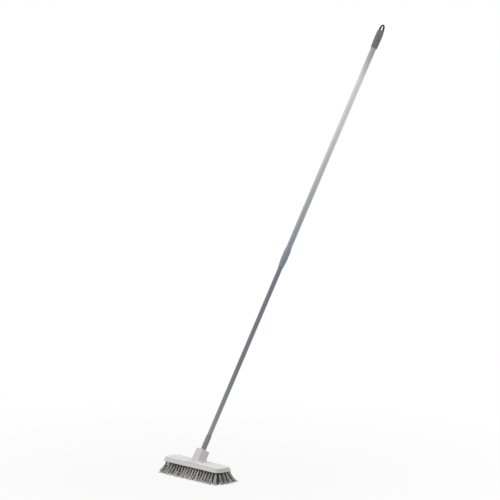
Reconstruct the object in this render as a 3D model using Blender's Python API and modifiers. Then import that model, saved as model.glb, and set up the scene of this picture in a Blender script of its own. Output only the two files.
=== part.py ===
# Telescopic scrub brush: a moulded head with flared bristles on a two-part pole with a twist lock.
# Lengths are in metres, angles in degrees. X runs along the head, the pole leans back towards +Y,
# and the bristle ends stand on z = 0 with the origin under the middle of the head.

import math

import bmesh
import bpy
import numpy as np
from mathutils import Matrix, Vector

# Brush block, a long plate with blunt rounded ends
block_length = 0.302
block_width = 0.075
block_end_length = 0.022
block_end_power = 2.3
block_height = 0.0145
lip_height = 0.0024
lip_proud = 0.0009
side_draft = 0.0062
shoulder_drop = 0.0022
shoulder_run = 0.0014
rim_width = 0.0032
end_steps = 18
shoulder_steps = 5

# Socket, moulded on the block and leaning with the pole
pole_tilt = 30.3
pole_setback = 0.004
mouth_tilt = 29.0
socket_foot_side = 0.041
socket_mouth_side = 0.033
socket_depth = 0.036
socket_foot_corner = 0.0060
socket_mouth_corner = 0.0028
socket_reach = 0.0435
socket_sink = 0.005
flare_side = 0.012
flare_front = 0.0075
flare_forward = 0.0040
flare_height = 0.013
corner_steps = 4
flare_steps = 6

# Bristles
bristle_length = 0.040
plate_thickness = 0.0035
backing_gap = 0.0006
rows_each_side = 4
tuft_pitch = 0.0143
tuft_margin = 0.0050
side_flare = 0.0248
end_flare = 0.0300
limb_spread = 0.0024
strand_root_radius = 0.0011
strand_tip_radius = 0.0009
strand_sides = 3
strand_sink = 0.0015
strand_stray = 0.0007
side_flare_power = 1.35
end_flare_power = 3.5
corner_ease_share = 0.35

# Threaded tip and ferrule on the pole's lower end
tip_root_radius = 0.0073
tip_thread_depth = 0.0015
tip_thread_pitch = 0.005
tip_thread_length = 0.0265
tip_flange_thickness = 0.0027
tip_plug_length = 0.038
tip_seat_depth = 0.0085
socket_bore_floor = 0.0025
counterbore_gap = 0.0013
ferrule_radius = 0.00915
ferrule_length = 0.0600

# Tubes
inner_tube_radius = 0.0080
inner_tube_wall = 0.0006
inner_tube_shown = 0.6386
outer_tube_radius = 0.00965
outer_tube_wall = 0.0006
outer_tube_shown = 0.7625
round_steps = 24

# Twist lock
lock_radius = 0.0117
nut_length = 0.0370
nut_mouth_radius = 0.0093
nut_lip_length = 0.0050
nut_cone_length = 0.0110
nut_cone_start_radius = 0.0090
body_length = 0.0341
body_top_radius = 0.0105
body_ledge_length = 0.0040
nose_length = 0.0190
nose_wall = 0.0010
lock_thread_pitch = 0.003
lock_thread_depth = 0.0007
lock_thread_length = 0.0120
collet_flange_length = 0.0020
collet_slot_width = 0.0012
collet_slots = 4
nut_full_share = 0.10
body_full_share = 0.45
taper_steps = 7
bush_length = 0.0450
bush_cap_length = 0.0030

# Grip with its hanging hole
grip_length = 0.0888
grip_radius = 0.0125
grip_mouth_radius = 0.0117
grip_swell_length = 0.030
grip_nose_length = 0.036
grip_nose_power = 2.2
grip_seat_depth = 0.048
grip_flat_thickness = 0.0046
grip_scoop_radius = 0.060
hole_length = 0.0195
hole_low_radius = 0.0056
hole_high_radius = 0.0042
hole_rim = 0.0036
nose_steps = 9
hole_steps = 10

# Clearances, and how far a cutter runs past what it cuts
fit_gap = 0.0003
slide_gap = 0.0002
thread_gap = 0.00035
overrun = 0.002
bite = 0.0004

stray = np.random.default_rng(7)
block_top = bristle_length + block_height
tilt = math.radians(pole_tilt)

# The rows of tufts share the width of the recess under the block
recess_inset = rim_width + backing_gap
row_pitch = (block_width - 2 * recess_inset) / (2 * rows_each_side + 1)

# Places along the pole, measured from where its line meets the block's top
tip_shoulder = socket_reach - tip_seat_depth
ferrule_start = tip_shoulder + tip_flange_thickness + fit_gap
inner_start = ferrule_start
ferrule_end = ferrule_start + ferrule_length
nut_start = ferrule_end + inner_tube_shown
body_start = nut_start + nut_length + fit_gap
nose_start = body_start - nose_length
ledge_end = body_start + body_ledge_length
outer_start = ledge_end + fit_gap
body_end = body_start + body_length
grip_start = body_end + outer_tube_shown
grip_seat = grip_start + grip_seat_depth
outer_end = grip_seat - fit_gap
grip_end = grip_start + grip_length
bush_start = outer_start
bush_end = bush_start + bush_length
inner_end = bush_end - bush_cap_length - slide_gap


def clear_scene():
    for obj in list(bpy.data.objects):
        bpy.data.objects.remove(obj, do_unlink=True)


def collection(name):
    made = bpy.data.collections.new(name)
    bpy.context.scene.collection.children.link(made)
    return made


def material(name, color, roughness, metallic=0.0):
    made = bpy.data.materials.new(name)
    made.use_nodes = True
    shader = made.node_tree.nodes["Principled BSDF"]
    shader.inputs["Base Color"].default_value = (*color, 1.0)
    shader.inputs["Roughness"].default_value = roughness
    shader.inputs["Metallic"].default_value = metallic
    return made


def place(name, mesh, home, finish=None, parent=None, location=(0, 0, 0), turn=(0, 0, 0)):
    """Puts a mesh in the scene as a named object, shaded smooth up to sharp edges."""
    mesh.name = name
    obj = bpy.data.objects.new(name, mesh)
    home.objects.link(obj)
    obj.parent = parent
    obj.location = location
    obj.rotation_euler = turn
    if finish:
        mesh.materials.append(finish)
    mesh.shade_smooth()
    mesh.set_sharp_from_angle(angle=math.radians(40))
    return obj


def helper(name, mesh, parent=None, location=(0, 0, 0), turn=(0, 0, 0)):
    """A shape that only cuts or joins another one."""
    obj = place(name, mesh, cutters, None, parent, location, turn)
    obj.hide_render = True
    obj.display_type = "WIRE"
    return obj


def boolean(obj, other, operation):
    step = obj.modifiers.new(f"{operation.lower()} {other.name}", "BOOLEAN")
    step.operation = operation
    step.solver = "EXACT"
    step.object = other


def loft(name, bodies):
    """Closed bodies through rings of points, each ring given as a list of places."""
    shape = bmesh.new()
    for rings in bodies:
        made = [[shape.verts.new(point) for point in ring] for ring in rings]
        for low, high in zip(made, made[1:]):
            count = len(low)
            for i in range(count):
                j = (i + 1) % count
                shape.faces.new((low[i], low[j], high[j], high[i]))
        shape.faces.new(reversed(made[0]))
        shape.faces.new(made[-1])
    bmesh.ops.recalc_face_normals(shape, faces=shape.faces)
    mesh = bpy.data.meshes.new(name)
    shape.to_mesh(mesh)
    shape.free()
    return mesh


def turned(name, profile, closed, steps=round_steps):
    """A profile of (radius, height) points turned about Z. It runs down its outer side."""
    mesh = bpy.data.meshes.new(name)
    points = [(radius, 0, height) for radius, height in profile]
    edges = [(i, i + 1) for i in range(len(points) - 1)]
    if closed:
        edges.append((len(points) - 1, 0))
    mesh.from_pydata(points, edges, [])
    guide = bpy.data.objects.new(name, mesh)
    cutters.objects.link(guide)
    screw = guide.modifiers.new("turn", "SCREW")
    screw.steps = steps
    screw.render_steps = steps
    screw.use_merge_vertices = True
    screw.merge_threshold = 0.00001
    bpy.context.view_layer.update()
    graph = bpy.context.evaluated_depsgraph_get()
    made = bpy.data.meshes.new_from_object(guide.evaluated_get(graph))
    bpy.data.objects.remove(guide, do_unlink=True)
    bpy.data.meshes.remove(mesh)
    return made


def sleeve(name, outer, inner, low, high):
    """A plain tube from one height to another."""
    return turned(name, [(outer, high), (outer, low), (inner, low), (inner, high)], True)


def box(name, size, centre):
    shape = bmesh.new()
    bmesh.ops.create_cube(shape, size=1.0)
    bmesh.ops.transform(shape, matrix=Matrix.Diagonal((*size, 1)), verts=shape.verts)
    bmesh.ops.translate(shape, vec=centre, verts=shape.verts)
    mesh = bpy.data.meshes.new(name)
    shape.to_mesh(mesh)
    shape.free()
    return mesh


def plate(name, outline, thickness):
    """A flat outline made thick, centred on its plane."""
    curve = bpy.data.curves.new(name, "CURVE")
    curve.dimensions = "2D"
    curve.fill_mode = "BOTH"
    curve.extrude = thickness / 2
    line = curve.splines.new("POLY")
    line.points.add(len(outline) - 1)
    for point, (x, y) in zip(line.points, outline):
        point.co = (x, y, 0, 1)
    line.use_cyclic_u = True
    guide = bpy.data.objects.new(name, curve)
    cutters.objects.link(guide)
    bpy.context.view_layer.update()
    graph = bpy.context.evaluated_depsgraph_get()
    made = bpy.data.meshes.new_from_object(guide.evaluated_get(graph))
    bpy.data.objects.remove(guide, do_unlink=True)
    bpy.data.curves.remove(curve)
    shape = bmesh.new()
    shape.from_mesh(made)
    bmesh.ops.remove_doubles(shape, verts=shape.verts, dist=fit_gap / 10)
    bmesh.ops.recalc_face_normals(shape, faces=shape.faces)
    shape.to_mesh(made)
    shape.free()
    return made


def thread_ridge(name, root, crest, foot_width, crest_width, pitch, low, length):
    """A right-hand helical ridge of trapezoid section that fades out at both ends."""
    turns = length / pitch
    count = round(turns * round_steps)
    fade = round_steps / 4
    rings = []
    for i in range(count + 1):
        angle = math.tau * i / round_steps
        height = low + pitch * i / round_steps
        share = min(1.0, (i + 1) / fade, (count - i + 1) / fade)
        reach = root + (crest - root) * share
        out = Vector((math.cos(angle), math.sin(angle), 0))
        up = Vector((0, 0, 1))
        section = (
            (root - bite, -foot_width / 2),
            (reach, -crest_width / 2),
            (reach, crest_width / 2),
            (root - bite, foot_width / 2),
        )
        rings.append([out * radius + up * (height + rise) for radius, rise in section])
    return loft(name, [rings])


def end_bulge(share):
    """How far an end of the block stands out, from 1 at its middle to 0 at the straight sides."""
    return (1 - min(1.0, abs(share)) ** block_end_power) ** (1 / block_end_power)


def plan_outline(inset):
    """The block's outline seen from above: straight sides and blunt superellipse ends."""
    half_width = block_width / 2 - inset
    end = block_end_length - inset
    straight = block_length / 2 - block_end_length
    shares = [math.sin(math.pi * (i / end_steps - 0.5)) for i in range(end_steps + 1)]
    right = [(straight + end * end_bulge(share), half_width * share) for share in shares]
    return right + [(-x, -y) for x, y in right]


def block_shell():
    """Plan outlines stacked up the block: lip, drafted side, rounded shoulder, flat top."""
    side_top = block_height - shoulder_drop
    levels = [(0, 0), (lip_height, 0), (lip_height + lip_proud / 2, lip_proud)]
    for i in range(shoulder_steps + 1):
        angle = math.pi / 2 * i / shoulder_steps
        inset = lip_proud + side_draft + shoulder_run * (1 - math.cos(angle))
        levels.append((side_top + shoulder_drop * math.sin(angle), inset))
    return [
        [(x, y, bristle_length + height) for x, y in plan_outline(inset)] for height, inset in levels
    ]


def rounded_rectangle(half_x, half_y, corner):
    points = []
    for quarter, (side_x, side_y) in enumerate(((1, 1), (-1, 1), (-1, -1), (1, -1))):
        for i in range(corner_steps + 1):
            angle = math.pi / 2 * (quarter + i / corner_steps)
            x = side_x * (half_x - corner) + corner * math.cos(angle)
            y = side_y * (half_y - corner) + corner * math.sin(angle)
            points.append((x, y))
    return points


def flare_at(height, spread):
    """How far the socket's foot spreads at a height: a quarter-ellipse hollow fillet."""
    left = 1 - min(1.0, max(0.0, height / flare_height))
    return spread * (1 - math.sqrt(1 - left * left))


def socket_shell():
    """Rounded oblongs carried up the pole's line, turning from flat on the block to the mouth's slant."""
    along = Vector((0, math.sin(tilt), math.cos(tilt)))
    middle = Vector((0, pole_setback, block_top))
    stages = [-socket_sink] + [flare_height * (i / flare_steps) ** 1.6 for i in range(flare_steps + 1)]
    stages.append(socket_reach)
    rings = []
    for stage in stages:
        share = max(0.0, stage / socket_reach)
        slant = math.radians(mouth_tilt) * share
        across = Vector((0, math.cos(slant), -math.sin(slant)))
        side = socket_foot_side + (socket_mouth_side - socket_foot_side) * share
        corner = socket_foot_corner + (socket_mouth_corner - socket_foot_corner) * share
        half_x = side / 2 + flare_at(stage, flare_side)
        half_y = socket_depth / 2 + flare_at(stage, flare_front)
        stretch = 1 / math.cos(tilt - slant)
        centre = middle + along * stage - across * flare_at(stage, flare_forward)
        outline = rounded_rectangle(half_x, half_y, corner)
        rings.append([centre + Vector((x, 0, 0)) + across * (y * stretch) for x, y in outline])
    return rings


def socket_bore():
    """The hole for the threaded tip, with a wider seat for its flange and the ferrule."""
    minor = tip_root_radius + thread_gap
    seat = ferrule_radius + counterbore_gap
    floor = tip_shoulder - tip_thread_length - socket_bore_floor
    top = socket_reach + socket_depth
    profile = [
        (0, top),
        (seat, top),
        (seat, tip_shoulder - fit_gap),
        (minor, tip_shoulder - fit_gap),
        (minor, floor),
        (0, floor),
    ]
    return turned("socket_bore", profile, False)


def tip_thread(name, gap, extra):
    foot = tip_thread_pitch * 0.52
    crest = tip_thread_pitch * 0.26
    low = tip_shoulder - tip_thread_length + tip_thread_pitch / 2
    return thread_ridge(
        name,
        tip_root_radius + gap,
        tip_root_radius + tip_thread_depth + gap,
        foot + 2 * gap,
        crest + 2 * gap,
        tip_thread_pitch,
        low,
        tip_thread_length - tip_thread_pitch + extra,
    )


def make_block():
    block = place("brush_block", loft("brush_block", [block_shell()]), parts, block_plastic)
    boolean(block, helper("socket_body", loft("socket_body", [socket_shell()])), "UNION")
    recess = plate("underside_recess", plan_outline(rim_width), 2 * (plate_thickness + fit_gap))
    boolean(block, helper("underside_recess", recess, None, (0, 0, bristle_length)), "DIFFERENCE")
    boolean(block, helper("socket_bore", socket_bore(), pole_line), "DIFFERENCE")
    groove = tip_thread("socket_groove", thread_gap, tip_thread_pitch)
    boolean(block, helper("socket_groove", groove, pole_line), "DIFFERENCE")


def row_reach(y):
    """Half the length of the recess, less its gap, at a distance from the block's middle line."""
    end = block_end_length - recess_inset
    share = y / (block_width / 2 - recess_inset)
    return block_length / 2 - block_end_length + end * end_bulge(share)


def row_strip(row):
    """The outline of one row's slice of the backing."""
    low = (row - 0.5) * row_pitch + fit_gap / 2
    high = (row + 0.5) * row_pitch - fit_gap / 2
    heights = [low + (high - low) * i / (end_steps // 2) for i in range(end_steps // 2 + 1)]
    right = [(row_reach(y), y) for y in heights]
    return right + [(-x, y) for x, y in reversed(right)]


def flared(value, reach, flare, power, corner):
    """Moves a strand's end outwards, and less so near the corners of the head."""
    share = min(1.0, abs(value) / reach)
    ease = 1 - corner_ease_share * corner**2
    return value + math.copysign(flare * ease * share**power, value)


def strand_rings(root, tip, spin):
    """A tapered strand of few sides from inside the backing down to the floor, cut level there."""
    rings = []
    for place_at, radius in ((root, strand_root_radius), (tip, strand_tip_radius)):
        ring = []
        for i in range(strand_sides):
            angle = spin + math.tau * i / strand_sides
            offset = Vector((radius * math.cos(angle), radius * math.sin(angle), 0))
            ring.append(place_at + offset)
        rings.append(ring)
    return rings


def row_strands(row):
    """Each tuft is a folded bundle, so two limbs leave its hole and spread towards the floor."""
    y = row * row_pitch
    half_width = rows_each_side * row_pitch
    half_length = block_length / 2 - recess_inset - tuft_margin
    limit = row_reach(y) - tuft_margin
    start_share = 0.25 if row % 2 == 0 else 0.5
    count = round(limit / tuft_pitch) + 1
    strands = []
    for tuft in range(-count, count + 1):
        middle = (tuft + start_share) * tuft_pitch
        if abs(middle) + limb_spread / 2 > limit:
            continue
        for side in (-1, 1):
            root_x = middle + side * limb_spread / 2
            start_x = middle + side * tuft_pitch / 4
            tip_x = flared(start_x, half_length, end_flare, end_flare_power, y / half_width)
            near_end = min(1.0, abs(middle) / half_length) ** end_flare_power
            tip_y = flared(y, half_width, side_flare, side_flare_power, near_end)
            loose = strand_stray * min(1.0, abs(tip_x) / tuft_pitch)
            shift_x, shift_y = stray.uniform(-loose, loose, 2)
            root = Vector((root_x, y, bristle_length + strand_sink))
            tip = Vector((tip_x + shift_x, tip_y + shift_y, 0))
            strands.append(strand_rings(root, tip, math.pi * (tuft % 2)))
    return strands


def make_bristles():
    """The rows are numbered from the front."""
    for row in range(-rows_each_side, rows_each_side + 1):
        name = f"bristle_row_{row + rows_each_side + 1}"
        finish = bristle_dark if row % 2 else bristle_light
        height = bristle_length + plate_thickness / 2
        strip = plate(name, row_strip(row), plate_thickness)
        backing = place(name, strip, parts, finish, None, (0, 0, height))
        strands = helper(name + "_strands", loft(name + "_strands", row_strands(row)))
        boolean(backing, strands, "UNION")


def make_threaded_tip():
    """A plug in the tube's end, a flange under it and a screw thread below."""
    plug = inner_tube_radius - inner_tube_wall - slide_gap
    flange_top = tip_shoulder + tip_flange_thickness
    profile = [
        (0, flange_top + tip_plug_length),
        (plug - bite, flange_top + tip_plug_length),
        (plug, flange_top + tip_plug_length - bite),
        (plug, flange_top),
        (ferrule_radius, flange_top),
        (ferrule_radius, tip_shoulder),
        (tip_root_radius, tip_shoulder),
        (tip_root_radius, tip_shoulder - tip_thread_length),
        (tip_root_radius - tip_thread_depth, tip_shoulder - tip_thread_length - tip_thread_depth),
        (0, tip_shoulder - tip_thread_length - tip_thread_depth),
    ]
    tip = place("threaded_tip", turned("threaded_tip", profile, False), parts, lock_plastic, pole_line)
    ridge = helper("tip_ridge", tip_thread("tip_ridge", 0, 0), pole_line)
    boolean(tip, ridge, "UNION")


def make_lower_pole():
    ferrule_bore = inner_tube_radius + slide_gap
    ferrule = [
        (ferrule_bore + bite, ferrule_end),
        (ferrule_radius, ferrule_end - 2 * bite),
        (ferrule_radius, ferrule_start),
        (ferrule_bore, ferrule_start),
        (ferrule_bore, ferrule_end),
    ]
    place("tip_ferrule", turned("tip_ferrule", ferrule, True), parts, ferrule_plastic, pole_line)
    inner_wall = inner_tube_radius - inner_tube_wall
    tube = sleeve("inner_tube", inner_tube_radius, inner_wall, inner_start, inner_end)
    place("inner_tube", tube, parts, inner_steel, pole_line)
    bush_radius = outer_tube_radius - outer_tube_wall - slide_gap
    bush = [
        (bush_radius - bite, bush_end),
        (bush_radius, bush_end - bite),
        (bush_radius, bush_start),
        (inner_tube_radius + slide_gap, bush_start),
        (inner_tube_radius + slide_gap, inner_end + slide_gap),
        (inner_wall, inner_end + slide_gap),
        (inner_wall, bush_end),
    ]
    place("slide_bush", turned("slide_bush", bush, True), parts, lock_plastic, pole_line)


def lock_thread(name, gap, low, length):
    root = inner_tube_radius + fit_gap + nose_wall + gap
    foot = lock_thread_pitch * 0.5
    crest = lock_thread_pitch * 0.22
    return thread_ridge(
        name, root, root + lock_thread_depth, foot + 2 * gap, crest + 2 * gap, lock_thread_pitch, low, length
    )


def taper(high_radius, high, low_radius, low):
    """An S-shaped run of points down the lock's outer side, from one radius to another."""
    points = []
    for i in range(taper_steps + 1):
        share = i / taper_steps
        ease = share * share * (3 - 2 * share)
        points.append((high_radius + (low_radius - high_radius) * ease, high + (low - high) * share))
    return points


def make_lock_body():
    """The sleeve on the outer tube's end, with a ledge inside and a threaded nose below."""
    bore = inner_tube_radius + fit_gap
    nose = bore + nose_wall
    seat = outer_tube_radius + fit_gap
    profile = [(seat, body_end), (body_top_radius - bite, body_end)]
    shoulder = body_start + body_length * body_full_share
    profile += taper(body_top_radius, body_end - bite, lock_radius, shoulder)
    profile += [
        (lock_radius, body_start),
        (nose, body_start),
        (nose, nose_start),
        (bore, nose_start),
        (bore, ledge_end),
        (seat, ledge_end),
    ]
    body = place("lock_body", turned("lock_body", profile, True), parts, lock_plastic, pole_line)
    low = nose_start + lock_thread_pitch
    ridge = helper("nose_ridge", lock_thread("nose_ridge", 0, low, lock_thread_length), pole_line)
    boolean(body, ridge, "UNION")


def make_lock_nut():
    """The hand nut: a tapered sleeve with a cone inside for the collet and a thread above it."""
    mouth = inner_tube_radius + fit_gap
    bore = inner_tube_radius + fit_gap + nose_wall + thread_gap
    cone_start = nut_start + nut_lip_length
    cone_end = cone_start + nut_cone_length
    top = nut_start + nut_length
    profile = [(bore, top), (lock_radius, top)]
    profile += taper(lock_radius, top - nut_length * nut_full_share, nut_mouth_radius, nut_start)
    profile += [
        (mouth, nut_start),
        (mouth, cone_start),
        (nut_cone_start_radius, cone_start),
        (bore + bite, cone_end),
        (bore + bite, nose_start),
        (bore, nose_start + fit_gap),
    ]
    nut = place("lock_nut", turned("lock_nut", profile, True), parts, lock_plastic, pole_line)
    low = nose_start + lock_thread_pitch
    length = top + lock_thread_pitch - low
    groove = helper("nut_groove", lock_thread("nut_groove", thread_gap, low, length), pole_line)
    boolean(nut, groove, "DIFFERENCE")


def make_collet():
    """The split ring in the nut's cone. Its slots run up from the narrow end."""
    inner = inner_tube_radius + slide_gap
    bore = inner_tube_radius + fit_gap + nose_wall + thread_gap
    low = nut_start + nut_lip_length + fit_gap
    high = nose_start - fit_gap
    cone_end = nut_start + nut_lip_length + nut_cone_length
    profile = [
        (inner, high),
        (bore + bite - fit_gap, high),
        (bore + bite - fit_gap, cone_end),
        (nut_cone_start_radius - fit_gap, low),
        (inner, low),
    ]
    collet = place("lock_collet", turned("lock_collet", profile, True), parts, lock_plastic, pole_line)
    slot_top = high - collet_flange_length
    slot_low = low - overrun
    size = (2 * lock_radius, collet_slot_width, slot_top - slot_low)
    for i in range(collet_slots // 2):
        slot = box(f"collet_slot_{i}", size, (0, 0, 0))
        turn = (0, 0, math.tau * (i + 0.25) / collet_slots)
        cutter = helper(f"collet_slot_{i}", slot, pole_line, (0, 0, (slot_top + slot_low) / 2), turn)
        boolean(collet, cutter, "DIFFERENCE")


def make_outer_tube():
    inner = outer_tube_radius - outer_tube_wall
    tube = sleeve("outer_tube", outer_tube_radius, inner, outer_start, outer_end)
    place("outer_tube", tube, parts, outer_steel, pole_line)


def grip_profile():
    """A swelling sleeve that rounds off to the tip, with the tube's seat inside."""
    seat = outer_tube_radius + fit_gap
    points = [(0, grip_end)]
    for i in range(1, nose_steps + 1):
        angle = math.pi / 2 * i / nose_steps
        share = 1 - math.cos(angle)
        radius = grip_radius * (1 - (1 - share) ** grip_nose_power) ** (1 / grip_nose_power)
        points.append((radius, grip_end - grip_nose_length * share))
    points += [
        (grip_radius - bite, grip_start + grip_swell_length),
        (grip_mouth_radius, grip_start + bite),
        (grip_mouth_radius - bite, grip_start),
        (seat, grip_start),
        (seat, grip_seat),
        (0, grip_seat),
    ]
    return points


def hole_outline():
    """A teardrop: a wider half circle below, a narrower one above, straight sides between."""
    low = grip_end - hole_rim - hole_length + hole_low_radius
    high = grip_end - hole_rim - hole_high_radius
    lower = [math.pi * (1 + i / hole_steps) for i in range(hole_steps + 1)]
    upper = [math.pi * i / hole_steps for i in range(hole_steps + 1)]
    points = [(hole_low_radius * math.cos(a), low + hole_low_radius * math.sin(a)) for a in lower]
    points += [(hole_high_radius * math.cos(a), high + hole_high_radius * math.sin(a)) for a in upper]
    return points


def scoop(side):
    """A roller-shaped cutter that hollows one face of the grip's tip."""
    shape = bmesh.new()
    bmesh.ops.create_cone(
        shape,
        cap_ends=True,
        segments=64,
        radius1=grip_scoop_radius,
        radius2=grip_scoop_radius,
        depth=4 * grip_radius,
        matrix=Matrix.Rotation(math.pi / 2, 4, "X"),
    )
    mesh = bpy.data.meshes.new("scoop")
    shape.to_mesh(mesh)
    shape.free()
    away = side * (grip_scoop_radius + grip_flat_thickness / 2)
    middle = grip_end - hole_rim - hole_low_radius
    return helper(f"grip_scoop_{side}", mesh, pole_line, (away, 0, middle))


def make_grip():
    grip = place("hang_grip", turned("hang_grip", grip_profile(), False), parts, grip_plastic, pole_line)
    for side in (-1, 1):
        boolean(grip, scoop(side), "DIFFERENCE")
    hole = plate("hang_hole", hole_outline(), 4 * grip_radius)
    cutter = helper("hang_hole", hole, pole_line, (0, 0, 0), (math.pi / 2, 0, math.pi / 2))
    boolean(grip, cutter, "DIFFERENCE")


clear_scene()
parts = collection("telescopic_scrub_brush")
cutters = collection("cutters")

block_plastic = material("block_plastic", (0.72, 0.70, 0.69), 0.42)
bristle_dark = material("bristle_dark", (0.05, 0.05, 0.055), 0.6)
bristle_light = material("bristle_light", (0.45, 0.45, 0.46), 0.55)
ferrule_plastic = material("ferrule_plastic", (0.17, 0.18, 0.22), 0.45)
inner_steel = material("inner_steel", (0.22, 0.23, 0.25), 0.38, 0.6)
outer_steel = material("outer_steel", (0.40, 0.40, 0.41), 0.36, 0.6)
lock_plastic = material("lock_plastic", (0.22, 0.26, 0.30), 0.45)
grip_plastic = material("grip_plastic", (0.13, 0.13, 0.15), 0.5)

pole_line = bpy.data.objects.new("pole_line", None)
parts.objects.link(pole_line)
pole_line.location = (0, pole_setback, block_top)
pole_line.rotation_euler = (-tilt, 0, 0)

make_block()
make_bristles()
make_threaded_tip()
make_lower_pole()
make_lock_body()
make_lock_nut()
make_collet()
make_outer_tube()
make_grip()
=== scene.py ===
import math

import bmesh
import bpy
import mathutils
import numpy as np
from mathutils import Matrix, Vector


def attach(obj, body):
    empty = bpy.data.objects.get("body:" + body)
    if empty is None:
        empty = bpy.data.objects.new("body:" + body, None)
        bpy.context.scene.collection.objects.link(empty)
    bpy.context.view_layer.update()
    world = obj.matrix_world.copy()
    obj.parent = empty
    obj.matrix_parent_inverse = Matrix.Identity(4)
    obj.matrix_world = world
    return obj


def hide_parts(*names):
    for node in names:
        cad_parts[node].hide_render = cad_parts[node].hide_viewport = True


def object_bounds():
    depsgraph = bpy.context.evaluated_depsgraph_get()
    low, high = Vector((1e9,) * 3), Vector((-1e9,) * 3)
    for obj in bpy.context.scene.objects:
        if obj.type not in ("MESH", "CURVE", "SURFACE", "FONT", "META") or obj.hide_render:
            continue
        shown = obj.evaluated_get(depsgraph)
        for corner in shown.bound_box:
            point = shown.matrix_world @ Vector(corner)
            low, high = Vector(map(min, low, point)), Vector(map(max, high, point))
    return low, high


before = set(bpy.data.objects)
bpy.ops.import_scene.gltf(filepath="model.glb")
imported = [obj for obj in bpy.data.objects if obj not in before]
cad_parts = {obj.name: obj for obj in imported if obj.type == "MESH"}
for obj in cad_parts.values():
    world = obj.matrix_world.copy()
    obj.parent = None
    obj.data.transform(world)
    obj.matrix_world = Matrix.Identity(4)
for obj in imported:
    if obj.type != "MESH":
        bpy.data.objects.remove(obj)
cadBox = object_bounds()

# Telescopic scrub brush. Metres throughout: X along the head, the pole leans back towards +Y,
# and the bristle ends stand on z = 0 under the middle of the head.

scene = bpy.context.scene
headBody = "head_and_inner_pole"
chance = np.random.default_rng(11)


# Where the pole's line meets the top of the block, and the way it leans
poleLine = {"tilt": 30.3, "foot": (0.0, 0.004, 0.0545)}
tilt = math.radians(poleLine["tilt"])
poleFoot = np.array(poleLine["foot"])
poleUp = np.array([0.0, math.sin(tilt), math.cos(tilt)])
poleBack = np.array([0.0, math.cos(tilt), -math.sin(tilt)])
poleRight = np.array([1.0, 0.0, 0.0])


def onPole(x, y, s):
    # x to the right of the pole's line, y behind it and s up along it, as arrays of one shape
    x, y, s = np.broadcast_arrays(x, y, s)
    return poleFoot + x[..., None] * poleRight + y[..., None] * poleBack + s[..., None] * poleUp


def smoothStep(value, low, high):
    # 0 below low, 1 above high, and 3 u^2 - 2 u^3 between them
    share = np.clip((value - low) / (high - low), 0, 1)
    return share * share * (3 - 2 * share)


def softMin(a, b, blend):
    # the smaller of two heights, with their crossing rounded over the distance blend
    share = np.clip(0.5 + 0.5 * (b - a) / blend, 0, 1)
    return b * (1 - share) + a * share - blend * share * (1 - share)


def gridFaces(rows, columns, start=0, closed=True):
    # quads between neighbouring rows and columns, the last column joined to the first if closed
    i = np.arange(rows - 1)[:, None] * columns
    j = np.arange(columns if closed else columns - 1)[None, :]
    k = (j + 1) % columns
    quads = np.stack(np.broadcast_arrays(i + j, i + k, i + columns + k, i + columns + j), axis=-1)
    return quads.reshape(-1, 4) + start


def meshPiece(name, points, quads, material, attributes=None, merge=1e-6, sharp=38):
    # Puts arrays of points and quads into a mesh and welds its poles and seams. Its faces point
    # outwards when the sum of p0 . (p1 x p2 + p2 x p3), six times the volume, isn't negative.
    points = np.asarray(points, dtype=float).reshape(-1, 3)
    corners = points[quads]
    fans = np.cross(corners[:, 1], corners[:, 2]) + np.cross(corners[:, 2], corners[:, 3])
    if (corners[:, 0] * fans).sum() < 0:
        quads = quads[:, ::-1]
    mesh = bpy.data.meshes.new(name)
    mesh.vertices.add(len(points))
    mesh.vertices.foreach_set("co", points.ravel())
    mesh.loops.add(quads.size)
    mesh.loops.foreach_set("vertex_index", quads.ravel().astype(np.int32))
    mesh.polygons.add(len(quads))
    mesh.polygons.foreach_set("loop_start", np.arange(0, quads.size, 4, dtype=np.int32))
    mesh.update(calc_edges=True)
    for key, values in (attributes or {}).items():
        layer = mesh.attributes.new(key, "FLOAT", "POINT")
        layer.data.foreach_set("value", np.asarray(values, dtype=np.float32).ravel())
    shape = bmesh.new()
    shape.from_mesh(mesh)
    bmesh.ops.remove_doubles(shape, verts=shape.verts, dist=merge)
    bmesh.ops.dissolve_degenerate(shape, edges=shape.edges, dist=merge)
    shape.to_mesh(mesh)
    shape.free()
    mesh.shade_smooth()
    if sharp:
        mesh.set_sharp_from_angle(angle=math.radians(sharp))
    mesh.materials.append(material)
    piece = bpy.data.objects.new(name, mesh)
    scene.collection.objects.link(piece)
    return piece


def seat(piece, body, slot, *nodes):
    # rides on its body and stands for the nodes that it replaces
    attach(piece, body)
    if nodes:
        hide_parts(*nodes)


def roundedProfile(corners, steps=6):
    # Each corner is (radius, place, fillet). The fillet is a quadratic curve from a point that far
    # before the corner to one that far after it: (1-t)^2 A + 2 t (1-t) P + t^2 B.
    data = np.array(corners, dtype=float)
    spots, fillets = data[:, :2], data[:, 2]
    count = len(spots)
    t = np.linspace(0, 1, steps)[:, None]
    parts = []
    for i in range(count):
        before, here, after = spots[i - 1], spots[i], spots[(i + 1) % count]
        if fillets[i] <= 0:
            parts.append(here[None])
            continue
        toBefore, toAfter = before - here, after - here
        a = here + toBefore * min(0.49, fillets[i] / np.linalg.norm(toBefore))
        b = here + toAfter * min(0.49, fillets[i] / np.linalg.norm(toAfter))
        parts.append((1 - t) ** 2 * a + 2 * t * (1 - t) * here + t**2 * b)
    return np.concatenate(parts)


def turnedPiece(name, profile, material, columns=96, relief=None):
    # A closed profile of (radius, place along the pole) carried round the pole's line.
    # relief(angle, radius, place) gives how much is added to the radius.
    angle = np.linspace(0, math.tau, columns, endpoint=False)[None, :]
    profile = np.concatenate([profile, profile[:1]])
    radius, place = profile[:, :1], profile[:, 1:]
    if relief:
        radius = radius + relief(angle, radius, place)
    points = onPole(radius * np.cos(angle), radius * np.sin(angle), place + 0 * angle)
    return meshPiece(name, points, gridFaces(len(profile), columns), material)


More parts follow.
